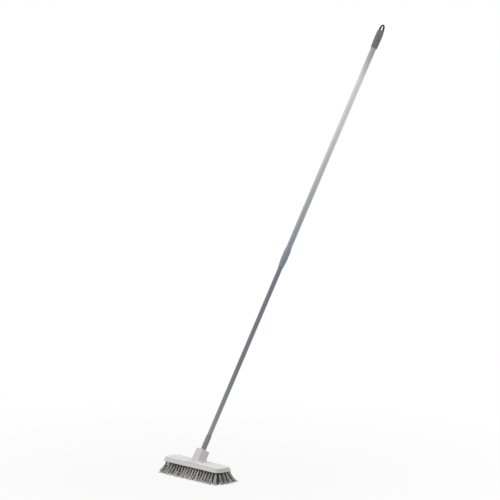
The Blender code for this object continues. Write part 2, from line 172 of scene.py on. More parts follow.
class Wire:
    # One output of a node. The operators on it add Math nodes, and so do their reflected forms.
    def __init__(self, finish, socket):
        self.finish, self.socket = finish, socket

    def maths(self, operation, first, second=0.0):
        values = {"Value": first, "Value_001": second}
        return self.finish.node("Math", {"operation": operation}, values)["Value"]

    def __add__(self, other):
        return self.maths("ADD", self, other)

    def __sub__(self, other):
        return self.maths("SUBTRACT", self, other)

    def __rsub__(self, other):
        return self.maths("SUBTRACT", other, self)

    def __mul__(self, other):
        return self.maths("MULTIPLY", self, other)

    def __truediv__(self, other):
        return self.maths("DIVIDE", self, other)

    def __pow__(self, other):
        return self.maths("POWER", self, other)

    def __or__(self, other):
        return self.maths("MAXIMUM", self, other)

    __radd__, __rmul__ = __add__, __mul__


class Outputs:
    # a node's outputs by name or identifier
    def __init__(self, finish, node):
        self.finish, self.made = finish, node

    def __getitem__(self, key):
        found = [s for s in self.made.outputs if key in (s.identifier, s.name) and s.enabled]
        return Wire(self.finish, found[0])


class Finish:
    # One material and its nodes
    def __init__(self, name):
        self.material = bpy.data.materials.new(name)
        self.material.use_nodes = True
        self.tree = self.material.node_tree
        self.shader = self.tree.nodes["Principled BSDF"]

    def put(self, socket, value):
        if isinstance(value, Wire):
            self.tree.links.new(value.socket, socket)
        elif hasattr(value, "__len__") and len(value) == 3 and socket.type == "RGBA":
            socket.default_value = (*value, 1.0)
        else:
            socket.default_value = value

    def node(self, kind, settings=None, sockets=None):
        # a node of any kind: its settings are set first, and then its sockets get values or links
        made = self.tree.nodes.new("ShaderNode" + kind)
        for key, value in (settings or {}).items():
            setattr(made, key, value)
        for key, value in (sockets or {}).items():
            fitting = (s for s in made.inputs if key in (s.identifier, s.name) and s.enabled)
            self.put(next(fitting), value)
        return Outputs(self, made)

    def set(self, **values):
        # baseColor goes to the shader's Base Color, specularIorLevel to its Specular IOR Level
        for key, value in values.items():
            words = "".join(" " + c if c.isupper() else c for c in key).title()
            self.put(self.shader.inputs[words.replace("Ior", "IOR")], value)

    def spot(self, stretch=(1, 1, 1), turn=(0, 0, 0)):
        # the place on the object, turned and then scaled
        base = self.node("TexCoord")["Object"]
        turned = self.node("Mapping", {}, {"Vector": base, "Rotation": turn})["Vector"]
        return self.node("Mapping", {}, {"Vector": turned, "Scale": stretch})["Vector"]

    def alongPole(self, lengthwise):
        # the same with Z along the pole: a small factor draws the pattern out lengthwise
        return self.spot((1, 1, lengthwise), (tilt, 0, 0))

    def noise(self, place, size, detail=3.0, roughness=0.5):
        # soft noise whose patches are about size across, from 0 to 1
        values = {"Vector": place, "Scale": 1 / size, "Detail": detail, "Roughness": roughness}
        return self.node("TexNoise", {}, values)["Fac"]

    def between(self, value, low, high):
        # 0 below low and 1 above high, eased between them
        values = {"Value": value, "From Min": low, "From Max": high}
        return self.node("MapRange", {"interpolation_type": "SMOOTHSTEP"}, values)["Result"]

    def mixed(self, share, first, second):
        values = {"Factor_Float": share, "A_Color": first, "B_Color": second}
        return self.node("Mix", {"data_type": "RGBA"}, values)["Result_Color"]

    def attribute(self, name):
        return self.node("Attribute", {"attribute_name": name})["Fac"]

    def part(self, place, axis):
        return self.node("SeparateXYZ", {}, {"Vector": place})[axis]

    def relief(self, height, distance, strength=1.0):
        values = {"Height": height, "Distance": distance, "Strength": strength}
        self.put(self.shader.inputs["Normal"], self.node("Bump", {}, values)["Normal"])


def shaded(color, factor):
    # the same colour, darker or lighter
    return tuple(channel * factor for channel in color)


# Moulded polypropylene: fine grain, faint flow marks, scuffs along the lip, and painted shade in
# the hollow where the socket's front runs out onto the block
blockFinishForm = {
    "color": (0.635, 0.622, 0.611),
    "flow": (0.600, 0.586, 0.575),
    "flowSize": 0.035,
    "flowRange": (0.38, 0.66),
    "grainSize": 0.0007,
    "grainDepth": 0.00004,
    "speckSize": 0.0022,
    "scuff": (0.45, 0.437, 0.425),
    "scuffShare": 0.55,
    "scuffRange": (0.52, 0.66),
    "scuffHeights": (0.0405, 0.0432),
    # painted shade: a darker tone over the hollow at the socket's front foot
    "footTone": (0.50, 0.49, 0.48),
    "footShare": 0.8,
    "footMiddle": -0.0230,
    "footReach": (0.030, 0.0140),
    "footEase": 0.35,
    "footBase": (0.0532, 0.0544),  # heights between which the painted shade comes in
    "footTop": (0.0600, 0.0750),  # and fades out
}


def blockFinish(form):
    made = Finish("blockPlastic")
    place = made.spot()
    flow = made.noise(made.spot((0.35, 1, 1)), form["flowSize"], 4.0, 0.55)
    grain = made.noise(place, form["grainSize"], 2.0, 0.6)
    specks = made.noise(place, form["speckSize"], 4.0, 0.65)
    x, y, z = (made.part(place, axis) for axis in "XYZ")
    color = made.mixed(made.between(flow, *form["flowRange"]), form["color"], form["flow"])
    scuffs = 1 - made.between(z, *form["scuffHeights"])
    scuffs = scuffs * made.between(specks, *form["scuffRange"])
    color = made.mixed(scuffs * form["scuffShare"], color, form["scuff"])
    # the painted shade fills an ellipse in front of the socket: (x / wide)^2 + ((y - middle) /
    # deep)^2
    wide, deep = form["footReach"]
    ellipse = (x / wide) ** 2 + ((y - form["footMiddle"]) / deep) ** 2
    paintedShadeMask = 1 - made.between(ellipse, form["footEase"], 1.0)
    paintedShadeMask = paintedShadeMask * (1 - made.between(z, *form["footTop"])) * made.between(z, *form["footBase"])
    # painted shade: the hollow in front of the socket is darkened
    color = made.mixed(paintedShadeMask * form["footShare"], color, form["footTone"])
    made.set(baseColor=color, roughness=0.40 + grain * 0.08 + flow * 0.10 + scuffs * 0.15)
    made.set(specularIorLevel=0.45)
    made.relief(grain * 0.7 + specks * 0.3, form["grainDepth"], 0.35)
    return made.material


# Filaments: near-black painted shade at the root, then their own pale or dark shade, streaked
# along the strand, and a little greyer towards the cut end, which is painted light on the tips
strandFinishForm = {
    "pale": (0.86, 0.85, 0.84),
    "dark": (0.016, 0.016, 0.018),
    # painted shade: the near-black that the roots take where the block shades them
    "root": (0.006, 0.006, 0.007),
    "rootEnd": 0.42,
    "streakSize": 0.0012,
    "streakShare": 0.08,
    "streakTone": 0.45,
    "tipStart": 0.45,
    "tipShare": 0.10,
    "tipTone": 0.55,
}


def strandFinish(form):
    made = Finish("bristleFilament")
    reach = made.attribute("strandShadingReach")
    streaks = made.noise(made.spot((1, 1, 0.2)), form["streakSize"], 2.0, 0.5)
    body = made.mixed(made.attribute("strandShade"), form["dark"], form["pale"])
    streaked = made.between(streaks, 0.35, 0.7) * form["streakShare"]
    body = made.mixed(streaked, body, shaded(form["pale"], form["streakTone"]))
    # painted light: the cut ends turn towards a lit grey
    paintedTipLight = made.between(reach, form["tipStart"], 1.0) * form["tipShare"]
    body = made.mixed(paintedTipLight, body, shaded(form["pale"], form["tipTone"]))
    # painted shade over each strand from the root, as far as its shading reach
    color = made.mixed(made.between(reach, 0.0, form["rootEnd"]), form["root"], body)
    made.set(baseColor=color, roughness=0.42 + streaks * 0.18, specularIorLevel=0.35)
    return made.material


# Lacquered steel: fine drawn lines along the tube, faint waves in the lacquer and light rub marks.
# The colour goes over to a painted reflection between two heights, and the outer tube's then to
# top, where that painted reflection dims.
lacquerForm = {
    "lineSize": 0.0006,
    "lineShare": 0.35,
    "waveSize": 0.006,
    "markSize": 0.004,
    "markRange": (0.56, 0.74),
    "markTone": 1.15,
    "coatWeight": 0.6,
    "coatRoughness": 0.16,
    "depth": 0.00002,
}

innerSteelForm = {
    "color": (0.325, 0.320, 0.333),
    "dull": (0.285, 0.283, 0.298),
    # painted reflection: the inner tube turns darker and bluer higher up
    "bright": (0.180, 0.198, 0.235),
    "brightHeights": (0.10, 0.40),
    "metallic": 0.40,
    "roughness": 0.40,
    "rub": 0.35,
}

outerSteelForm = {
    "color": (0.325, 0.342, 0.378),
    "dull": (0.285, 0.298, 0.325),
    # painted reflection: the outer tube turns much lighter higher up
    "bright": (0.86, 0.855, 0.86),
    "brightHeights": (0.70, 1.27),
    # top: the painted reflection dims again near the grip
    "top": (0.49, 0.488, 0.505),
    "topHeights": (1.30, 1.40),
    "metallic": 0.45,
    "roughness": 0.40,
    "rub": 0.5,
}


def steelFinish(name, form, lacquer):
    made = Finish(name)
    lines = made.noise(made.alongPole(0.012), lacquer["lineSize"], 3.0, 0.6)
    waves = made.noise(made.alongPole(0.5), lacquer["waveSize"], 2.0, 0.5)
    marks = made.noise(made.alongPole(0.03), lacquer["markSize"], 5.0, 0.7)
    worn = made.between(marks, *lacquer["markRange"])
    z = made.part(made.spot(), "Z")
    # painted reflection that changes with height along the pole
    base = made.mixed(made.between(z, *form["brightHeights"]), form["color"], form["bright"])
    if "top" in form:
        base = made.mixed(made.between(z, *form["topHeights"]), base, form["top"])
    tone = made.mixed(made.between(lines, 0.3, 0.7) * lacquer["lineShare"], base, form["dull"])
    tone = made.mixed(worn * form["rub"] * 0.5, tone, shaded(form["color"], lacquer["markTone"]))
    made.set(baseColor=tone, metallic=form["metallic"])
    made.set(roughness=form["roughness"] + lines * 0.05 + worn * 0.06)
    made.set(coatWeight=lacquer["coatWeight"], coatRoughness=lacquer["coatRoughness"])
    made.relief(lines * 0.3 + waves * 0.7, lacquer["depth"], 0.12)
    return made.material


# Moulded plastic of the ferrule, the twist lock and the grip: fine grain, faint clouds, and
# handling marks along the pole
mouldForm = {
    "grainSize": 0.0006,
    "grainDepth": 0.00004,
    "cloudSize": 0.012,
    "cloudShare": 0.3,
    "cloudTone": 0.86,
    "markSize": 0.003,
    "markShare": 0.35,
}

ferruleFinishForm = {"color": (0.250, 0.257, 0.300), "worn": (0.34, 0.34, 0.37), "roughness": 0.42}

lockFinishForm = {
    "color": (0.265, 0.302, 0.330),
    "upper": (0.285, 0.328, 0.405),  # the upper half of the lock is bluer
    "upperHeights": (0.715, 0.735),
    "worn": (0.37, 0.39, 0.42),
    "roughness": 0.40,
}

gripFinishForm = {
    "color": (0.185, 0.184, 0.203),
    "loop": (0.016, 0.016, 0.018),  # the loop round the hanging hole
    "worn": (0.25, 0.25, 0.265),
    "roughness": 0.48,
}


def mouldedFinish(name, form, mould):
    made = Finish(name)
    place = made.spot()
    grain = made.noise(place, mould["grainSize"], 2.0, 0.6)
    clouds = made.noise(place, mould["cloudSize"], 3.0, 0.5)
    handled = made.noise(made.alongPole(0.25), mould["markSize"], 4.0, 0.65)
    tone = form["color"]
    if "upper" in form:
        share = made.between(made.part(place, "Z"), *form["upperHeights"])
        tone = made.mixed(share, tone, form["upper"])
    cloudy = made.between(clouds, 0.35, 0.7) * mould["cloudShare"]
    tone = made.mixed(cloudy, tone, shaded(form["color"], mould["cloudTone"]))
    tone = made.mixed(made.between(handled, 0.55, 0.72) * mould["markShare"], tone, form["worn"])
    if "loop" in form:
        tone = made.mixed(made.attribute("loopShade"), tone, form["loop"])
    made.set(baseColor=tone, roughness=form["roughness"] + grain * 0.08 + clouds * 0.08)
    made.set(specularIorLevel=0.45)
    made.relief(grain, mould["grainDepth"], 0.6)
    return made.material


blockPlastic = blockFinish(blockFinishForm)
filament = strandFinish(strandFinishForm)
innerSteel = steelFinish("innerSteel", innerSteelForm, lacquerForm)
outerSteel = steelFinish("outerSteel", outerSteelForm, lacquerForm)
ferrulePlastic = mouldedFinish("ferrulePlastic", ferruleFinishForm, mouldForm)
lockPlastic = mouldedFinish("lockPlastic", lockFinishForm, mouldForm)
gripPlastic = mouldedFinish("gripPlastic", gripFinishForm, mouldForm)
print("materials made")


# The head: a long block with a lip and slanted sides, and the leaning socket on its top
blockForm = {
    "length": 0.302,
    "width": 0.075,
    "underside": 0.040,
    "height": 0.0145,
    "endLength": 0.022,
    "endPower": 2.3,
    "rimWidth": 0.0032,
    "recessDepth": 0.0038,
    "lipHeight": 0.0024,
    "lipProud": 0.0009,
    "draft": 0.0062,
    "endDraft": 0.0016,  # the ends stand steeper than the long sides
    "shoulderDrop": 0.0022,
    "shoulderRun": 0.0014,
    "edge": 0.0004,
    "columns": 320,
    "endShare": 0.45,  # how much of each quarter's columns stand on the rounded end
}

socketForm = {
    "mouthTilt": 29.0,
    "footSide": 0.041,
    "mouthSide": 0.033,
    "depth": 0.036,
    "footCorner": 0.0060,
    "mouthCorner": 0.0028,
    "reach": 0.0435,
    "flareSide": 0.012,
    "flareFront": 0.0075,
    "flareForward": 0.0040,
    "flareCorner": 0.012,
    "flareHeight": 0.013,
    "rimRound": 0.0008,
    "seatRadius": 0.01045,
    "seatFloor": 0.0347,
    "boreRadius": 0.0092,
    "boreFloor": 0.0060,
    "cornerStart": 0.32,
    "cornerEnd": 0.60,
}


def mirrored(quarter, columns):
    # carries a curve over the first quarter, from the X axis to the Y axis, round all four
    w = np.arange(columns) * 4 / columns
    side = np.floor(w).astype(int)
    k = w - side
    k = np.where(side % 2 == 1, 1 - k, k)
    x, y = quarter(k)
    return np.where((side == 1) | (side == 2), -x, x), np.where(side >= 2, -y, y)


def blockOutline(form, inset, endInset=None):
    # straight sides, and ends on which |x / end|^p + |y / half width|^p = 1
    straight = form["length"] / 2 - form["endLength"]
    end = form["endLength"] - (inset if endInset is None else endInset)
    half = form["width"] / 2 - inset
    split, power = form["endShare"], form["endPower"]

    def quarter(k):
        share = np.sin(np.pi / 2 * np.clip(k / split, 0, 1))
        bulge = (1 - share**power) ** (1 / power)
        x = np.where(k < split, straight + end * bulge, straight * (1 - k) / (1 - split))
        return x, half * share

    return mirrored(quarter, form["columns"])


def levelRow(form, inset, z, endInset=None):
    x, y = blockOutline(form, inset, endInset)
    return np.stack([x, y, np.full(form["columns"], z)], axis=-1)


def middleRow(form, z):
    return np.tile([0.0, 0.0, z], (form["columns"], 1))


def socketOutline(form, halfX, halfY, corner, columns):
    # a rounded oblong
    a, b = form["cornerStart"], form["cornerEnd"]

    def quarter(k):
        turn = np.pi / 2 * np.clip((k - a) / (b - a), 0, 1)
        x = (halfX - corner) * np.clip((1 - k) / (1 - b), 0, 1) + corner * np.cos(turn)
        y = (halfY - corner) * np.clip(k / a, 0, 1) + corner * np.sin(turn)
        return x, y

    return mirrored(quarter, columns)


def acrossAt(slant):
    # the way back across the pole at a slant, and how much longer a round ring is along it
    return np.array([0, math.cos(slant), -math.sin(slant)]), 1 / math.cos(tilt - slant)


def socketRing(form, stage, inset, columns):
    # An oblong at a stage up the pole's line. It shrinks from foot to mouth and turns to the
    # mouth's slant. Near the foot it spreads as a quarter ellipse, spread (1 - sin a) at the
    # height H (1 - cos a), and its corner opens up with that, as a moulded fillet does.
    share = max(0.0, stage / form["reach"])
    slant = math.radians(form["mouthTilt"]) * share
    left = 1 - min(1.0, max(0.0, stage / form["flareHeight"]))
    flare = 1 - math.sqrt(1 - left * left)
    side = form["footSide"] + (form["mouthSide"] - form["footSide"]) * share
    corner = form["footCorner"] + (form["mouthCorner"] - form["footCorner"]) * share
    corner = corner - inset + form["flareCorner"] * flare
    halfX = side / 2 + form["flareSide"] * flare - inset
    halfY = form["depth"] / 2 + form["flareFront"] * flare - inset
    x, y = socketOutline(form, halfX, halfY, corner, columns)
    across, stretch = acrossAt(slant)
    centre = poleFoot + poleUp * stage - across * (form["flareForward"] * flare)
    return centre + x[:, None] * poleRight + (y * stretch)[:, None] * across


def makeHead(form, socket):
    # One closed skin: up the recess and the lip, over the shoulder, across the top, up the
    # socket, over its mouth and down its bore
    columns = form["columns"]
    base, edge, proud = form["underside"], form["edge"], form["lipProud"]
    lipTop, recess = base + form["lipHeight"], base + form["recessDepth"]
    rows = [middleRow(form, recess)]

    def level(inset, z, endInset=None):
        rows.append(levelRow(form, inset, z, endInset))

    level(form["rimWidth"], recess)
    level(form["rimWidth"], base + edge)
    level(form["rimWidth"] - edge * 0.3, base + edge * 0.3)
    level(form["rimWidth"] - edge, base)
    quarterTurn = np.linspace(0, np.pi / 2, 6)
    for a in quarterTurn:  # the lip's lower edge
        level(edge * (1 - math.sin(a)), base + edge * (1 - math.cos(a)))
    for a in quarterTurn:  # its upper edge
        level(edge * (1 - math.cos(a)), lipTop - edge * (1 - math.sin(a)))
    for a in quarterTurn:  # the hollow where the side rises from the lip
        level(proud - edge * (1 - math.sin(a)), lipTop + edge * (1 - math.cos(a)))
    sideTop = form["height"] - form["shoulderDrop"]
    sideLow = form["lipHeight"] + edge
    for share in (0.35, 0.7):  # the slanted side
        z = base + sideLow + (sideTop - sideLow) * share
        level(proud + form["draft"] * share, z, proud + form["endDraft"] * share)
    for a in np.linspace(0, np.pi / 2, 16):  # the shoulder
        run = proud + form["shoulderRun"] * (1 - math.cos(a))
        z = base + sideTop + form["shoulderDrop"] * math.sin(a)
        level(run + form["draft"], z, run + form["endDraft"])
    shoulder = rows[-1]
    foot = socketRing(socket, 0.0, 0.0, columns)
    for share in (0.2, 0.4, 0.6, 0.8):  # the level top
        rows.append(shoulder * (1 - share) + foot * share)
    for a in np.linspace(0, np.pi / 2, 18):  # the socket's spread foot
        rows.append(socketRing(socket, socket["flareHeight"] * (1 - math.cos(a)), 0.0, columns))
    rim, reach = socket["rimRound"], socket["reach"]
    for stage in np.linspace(socket["flareHeight"], reach - rim, 10)[1:]:
        rows.append(socketRing(socket, stage, 0.0, columns))
    for a in quarterTurn[1:]:  # the mouth's outer edge
        stage, inset = reach - rim * (1 - math.sin(a)), rim * (1 - math.cos(a))
        rows.append(socketRing(socket, stage, inset, columns))
    angle = np.arange(columns) * math.tau / columns
    across, stretch = acrossAt(math.radians(socket["mouthTilt"]))
    mouth = poleFoot + poleUp * reach
    # its inner edge: the room round the seat, and how far below the mouth
    for wider, drop in ((0.0006, 0.0), (0.0002, 0.0001), (0.0, 0.0004), (0.0, 0.0009)):
        wide = socket["seatRadius"] + wider
        right = (wide * np.cos(angle))[:, None] * poleRight
        ring = right + (wide * np.sin(angle) * stretch)[:, None] * across
        rows.append(mouth + ring - poleUp * drop)
    seatFloor, boreFloor = socket["seatFloor"], socket["boreFloor"]
    bore = [(socket["seatRadius"], seatFloor), (socket["boreRadius"], seatFloor)]
    bore += [(socket["boreRadius"], boreFloor), (0.0, boreFloor)]
    for radius, stage in bore:
        x, y = radius * np.cos(angle), radius * np.sin(angle)
        rows.append(onPole(x, y, np.full(columns, stage)))
    faces = gridFaces(len(rows), columns)
    return meshPiece("block_shell", np.array(rows), faces, blockPlastic, sharp=50)


backingForm = {"gap": 0.0006, "thick": 0.0035, "soft": 0.0003}


def makeBacking(block, form):
    # the plate that closes the recess and holds the tufts: a thin slab with an eased edge
    base, inside = block["underside"], block["rimWidth"] + form["gap"]
    thick, soft = form["thick"], form["soft"]
    rows = [middleRow(block, base)]
    for inset, z in ((soft, 0.0), (0.0, soft), (0.0, thick - soft), (soft, thick)):
        rows.append(levelRow(block, inside + inset, base + z))
    rows.append(middleRow(block, base + thick))
    faces = gridFaces(len(rows), block["columns"])
    return meshPiece("tuft_backing", np.array(rows), faces, blockPlastic)


seat(makeHead(blockForm, socketForm), headBody, "block_plastic", "brush_block")
seat(makeBacking(blockForm, backingForm), headBody, "block_plastic")
print("head made")


# The bristles: nine rows of round tufts, pale and dark by turns
bristleForm = {
    "rowsEachSide": 4,
    "recessInset": 0.0038,
    "pitch": 0.0143,
    "mostTufts": 33,  # those past the row's end are left out
    "margin": 0.0050,
    "limbSpread": 0.0024,
    "endShift": 0.0025,  # the last tufts of the pale rows stand this much further out
    "sideFlare": 0.0242,
    "sidePower": 1.35,
    "endFlare": 0.0290,
    "endPower": 3.5,
    "paleLean": 1.08,  # share of the end flare in the pale rows, in the dark ones
    "darkLean": 0.88,
    "leftLean": 0.90,  # and at the left end
    "cornerEase": 0.35,
    "strands": 64,
    "goldenTurn": 2.39996,
    "holeRadius": 0.0026,
    "rootRadius": 0.00029,
    "tipRadius": 0.00023,
    "tipSpread": 2.1,
    "endSpread": 0.3,  # how much more the end tufts open
    "sideSpread": 1.1,
    "jitter": 0.00008,
    "stray": 0.0010,
    "tuftStray": 0.7,
    "sink": 0.0012,
    "wave": 0.00055,
    "tuftWave": 0.0011,
    "paleShare": 0.90,  # pale strands of a pale row, with more of them at its ends
    "paleMore": 0.10,
    "darkRowPale": 0.14,
    "outerOpen": 1.7,  # how soon the painted root shade ends in the outer rows
    "innerOpen": 0.52,
    "endOpen": 1.3,
    "tipLimit": (0.0006, 0.0557),  # room at the ends, and half the width
    "bowLimit": (0.0005, 0.0558),
    "rings": 8,
    "sides": 4,
    "unevenCut": 0.0005,
    "collarGap": 0.0005,
    "collarWide": 0.0004,
    "collarHigh": 0.0003,
    "collarColumns": 14,
    "collarSides": 6,
}


def rowReach(block, form, y):
    # half the length of the recess at y, from the ends' curve |x / end|^p + |y / half width|^p = 1
    end = block["endLength"] - form["recessInset"]
    share = min(1.0, abs(y) / (block["width"] / 2 - form["recessInset"]))
    bulge = (1 - share ** block["endPower"]) ** (1 / block["endPower"])
    return block["length"] / 2 - block["endLength"] + end * bulge


def rowPlaces(row, block, form, y):
    # where the tufts of a row stand along X
    limit = rowReach(block, form, y) - form["margin"] - form["limbSpread"] / 2
    start = 0.25 if row % 2 == 0 else 0.5
    middles = (np.arange(form["mostTufts"]) - form["mostTufts"] // 2 + start) * form["pitch"]
    middles = middles[np.abs(middles) <= limit]
    pushed = form["endShift"] * (1 if row % 2 == 0 else -1)
    middles[0] -= pushed
    middles[-1] += pushed
    return middles


def repeated(quads, count, each):
    # the same faces for count copies of a shape that has that many points
    return (quads[None] + np.arange(count)[:, None, None] * each).reshape(-1, 4)


def holeCollars(middles, y, block, form):
    # a low moulded ring round each hole: a small ellipse carried round a circle
    columns, sides = form["collarColumns"], form["collarSides"]
    ringTurn = (np.arange(columns) * math.tau / columns)[:, None]
    tubeTurn = (np.arange(sides) * math.tau / sides)[None, :]
    wide = form["holeRadius"] + form["collarGap"] + form["collarWide"] * np.cos(tubeTurn)
    high = form["collarHigh"] * np.sin(tubeTurn) + 0 * ringTurn
    collar = np.stack([wide * np.cos(ringTurn), wide * np.sin(ringTurn), high], axis=-1)
    collar = np.concatenate([collar, collar[:1]])
    collar = np.concatenate([collar, collar[:, :1]], axis=1)
    count = len(middles)
    places = np.stack([middles, np.full(count, y), np.full(count, block["underside"])], -1)
    quads = gridFaces(columns + 1, sides + 1, closed=False)
    quads = repeated(quads, count, (columns + 1) * (sides + 1))
    return (collar[None] + places[:, None, None]).reshape(-1, 3), quads


def makeRow(number, row, block, form):
    # Each filament leaves its hole nearly upright and bows outwards: its sideways way is
    # (0.4 t + 0.6 t^1.9) of the whole, with a crimp of sine waves that grows with t.
    paleRow = row % 2 == 0
    apart = (block["width"] - 2 * form["recessInset"]) / (2 * form["rowsEachSide"] + 1)
    y = row * apart
    middles = rowPlaces(row, block, form, y)
    tufts, strands = len(middles), form["strands"]
    shape = (tufts, strands)

    # the roots, spread over the hole like the seeds of a sunflower
    turn = np.arange(strands)[None] * form["goldenTurn"] + chance.uniform(0, math.tau, (tufts, 1))
    out = np.sqrt((np.arange(strands) + 0.5) / strands)[None] * form["holeRadius"]
    offX = out * np.cos(turn) + chance.normal(0, form["jitter"], shape)
    offY = out * np.sin(turn) + chance.normal(0, form["jitter"], shape)
    rootX, rootY = middles[:, None] + offX, y + offY

    # the cut ends: the outer tufts lean out, all tufts open, and each strand strays a little
    halfLength = block["length"] / 2 - form["recessInset"] - form["margin"]
    nearEnd = np.clip(np.abs(middles) / halfLength, 0, 1) ** form["endPower"]
    nearSide = y / (form["rowsEachSide"] * apart)
    lean = form["endFlare"] * form["paleLean" if paleRow else "darkLean"]
    lean = lean * (1 - form["cornerEase"] * nearSide**2) * nearEnd
    lean = lean * np.where(middles < 0, -form["leftLean"], 1.0)
    bend = form["sideFlare"] * (1 - form["cornerEase"] * nearEnd**2)
    bend = bend * abs(nearSide) ** form["sidePower"]
    tuftLean = chance.normal(0, form["stray"] * form["tuftStray"], (2, tufts, 1))
    loose = chance.normal(0, form["stray"], (2, *shape))
    spread = form["tipSpread"] * (1 + form["endSpread"] * nearEnd[:, None])
    tipX = (middles + lean)[:, None] + offX * spread + tuftLean[0] + loose[0]
    tipY = (y + bend * np.sign(row))[:, None] + offY * spread * form["sideSpread"]
    tipY = tipY + tuftLean[1] + loose[1]
    left, right = cadBox[0][0], cadBox[1][0]
    gap, side = form["tipLimit"]
    tipX, tipY = np.clip(tipX, left + gap, right - gap), np.clip(tipY, -side, side)
    cut = chance.uniform(0, form["unevenCut"], shape)

    # each strand's own shade
    paleShare = form["paleShare"] + form["paleMore"] * nearEnd[:, None]
    pale = chance.random(shape) < (paleShare if paleRow else form["darkRowPale"])
    shade = np.where(pale, chance.uniform(0.62, 1.0, shape), chance.uniform(0.0, 0.10, shape))
    shade = np.clip(shade * chance.uniform(0.7, 1.15, (tufts, 1)), 0, 1)

    # the strands' middle lines
    t = np.linspace(0, 1, form["rings"])
    bow = 0.4 * t + 0.6 * t**1.9
    phase = chance.uniform(0, math.tau, (2, tufts, 1, 1)) + chance.normal(0, 0.5, (2, *shape, 1))
    crimp = form["wave"] * chance.uniform(0.4, 1.5, (*shape, 1)) * t**0.7
    crimp = crimp + form["tuftWave"] * (0.35 + 0.65 * nearEnd[:, None, None]) * t**0.8
    top = block["underside"] + form["sink"]
    lineX = rootX[..., None] + (tipX - rootX)[..., None] * bow + crimp * np.sin(t * 7.0 + phase[0])
    lineY = rootY[..., None] + (tipY - rootY)[..., None] * bow + crimp * np.sin(t * 6.0 + phase[1])
    lineZ = top + (cut[..., None] - top) * t
    gap, side = form["bowLimit"]
    lineX, lineY = np.clip(lineX, left + gap, right - gap), np.clip(lineY, -side, side)

    # their skins: square tubes that thin out towards the cut end
    rings, sides = form["rings"], form["sides"]
    radius = form["rootRadius"] + (form["tipRadius"] - form["rootRadius"]) * t
    spin = chance.uniform(0, math.tau, (*shape, 1, 1)) + np.arange(sides) * math.tau / sides
    skinX = lineX[..., None] + radius[:, None] * np.cos(spin)
    skinY = lineY[..., None] + radius[:, None] * np.sin(spin)
    skinZ = np.broadcast_to(lineZ[..., None], skinX.shape)
    skin = np.stack([skinX, skinY, skinZ], axis=-1).reshape(-1, 3)
    each = rings * sides
    caps = np.array([[0, 1, 2, 3], [each - 4, each - 1, each - 2, each - 3]])
    one = np.concatenate([gridFaces(rings, sides), caps])
    quads = repeated(one, tufts * strands, each)

    # The painted root shade ends sooner on the outer tufts, which stand in the open, and runs
    # further down the inner ones.
    shadingOpenness = form["innerOpen"] + form["endOpen"] * nearEnd[:, None, None]
    if abs(row) == form["rowsEachSide"]:
        shadingOpenness = np.full((tufts, 1, 1), form["outerOpen"])
    shades = np.broadcast_to(shade[..., None, None], skinX.shape).ravel()
    shadingReaches = np.broadcast_to((t * shadingOpenness)[..., None], skinX.shape).ravel()

    collars, collarQuads = holeCollars(middles, y, block, form)
    plain = np.zeros(len(collars))
    # the hole collars take the near-black painted root shade too
    attributes = {
        "strandShade": np.concatenate([shades, plain + 0.6]),
        "strandShadingReach": np.concatenate([shadingReaches, plain + 0.1]),
    }
    points = np.concatenate([skin, collars])
    quads = np.concatenate([quads, collarQuads + len(skin)])
    name = f"bristle_tufts_{number}"
    return meshPiece(name, points, quads, filament, attributes, merge=1e-7, sharp=None)


for number in range(1, 2 * bristleForm["rowsEachSide"] + 2):
    row = number - 1 - bristleForm["rowsEachSide"]
    tone = "bristle_dark" if row % 2 else "bristle_light"
    tuftRow = makeRow(number, row, blockForm, bristleForm)
    seat(tuftRow, headBody, tone, f"bristle_row_{number}")
print("bristles made")


# The pole: a ferrule and two tubes
ferruleForm = {"low": 0.0380, "high": 0.0980, "radius": 0.00915, "bore": 0.0082, "edge": 0.0011}
innerForm = {"low": 0.0380, "high": 0.8200, "radius": 0.0080, "wall": 0.0006}
outerForm = {"low": 0.7782, "high": 1.6182, "radius": 0.00965, "wall": 0.0006}


def makeFerrule(form):
    # a sleeve with a rounded lower edge, eased in to the tube at its upper end
    low, high, radius, bore = form["low"], form["high"], form["radius"], form["bore"]
    profile = roundedProfile([
        (bore, low, 0.0002),
        (bore, high, 0.0002),
        (bore + 0.0005, high, 0.0002),
        (radius, high - 0.0012, 0.0008),
        (radius, low + 0.0100, 0.0),
        (radius, low, form["edge"]),
    ])
    return turnedPiece("pole_ferrule", profile, ferrulePlastic)


def makeTube(name, form, material):
    # a straight thin-walled tube with eased ends
    low, high, radius = form["low"], form["high"], form["radius"]
    bore = radius - form["wall"]
    corners = [(bore, low, 0.00015), (bore, high, 0.00015)]
    corners += [(radius, high, 0.0002), (radius, low, 0.0002)]
    return turnedPiece(name, roundedProfile(corners, 4), material)


seat(makeFerrule(ferruleForm), headBody, "ferrule_plastic", "tip_ferrule")
seat(makeTube("inner_pole", innerForm, innerSteel), headBody, "inner_steel", "inner_tube")
outerTube = makeTube("outer_pole_tube", outerForm, outerSteel)
seat(outerTube, "outer_pole", "outer_steel", "outer_tube")


# The twist lock: the hand nut below and the fixed sleeve above, one spindle together
lockForm = {
    "radius": 0.0117,
    "nutStart": 0.7366,
    "nutLength": 0.0370,
    "nutMouth": 0.0093,
    "nutFull": 0.10,  # share of the nut's length that stays full
    "coneRadius": 0.0090,
    "coneLow": 0.0050,
    "coneHigh": 0.0160,
    "gap": 0.0003,
    "bodyLength": 0.0341,
    "bodyTop": 0.0105,
    "bodyFull": 0.45,
    "bore": 0.0083,
    "seat": 0.00995,
    "nose": 0.0093,
    "noseLength": 0.0190,
    "threadPitch": 0.003,
    "threadDepth": 0.0007,
    "threadPlay": 0.00035,
    "ledge": 0.0040,
    "flutes": 24,
    "fluteDepth": 0.00028,
}


def spindle(high, low, start, end, steps=28):
    # an S-shaped run from one radius to another: r = low + (high - low) (3 u^2 - 2 u^3)
    u = np.linspace(0, 1, steps)
    radius = low + (high - low) * (3 * u**2 - 2 * u**3)
    return np.stack([radius, start + (end - start) * u], axis=-1)


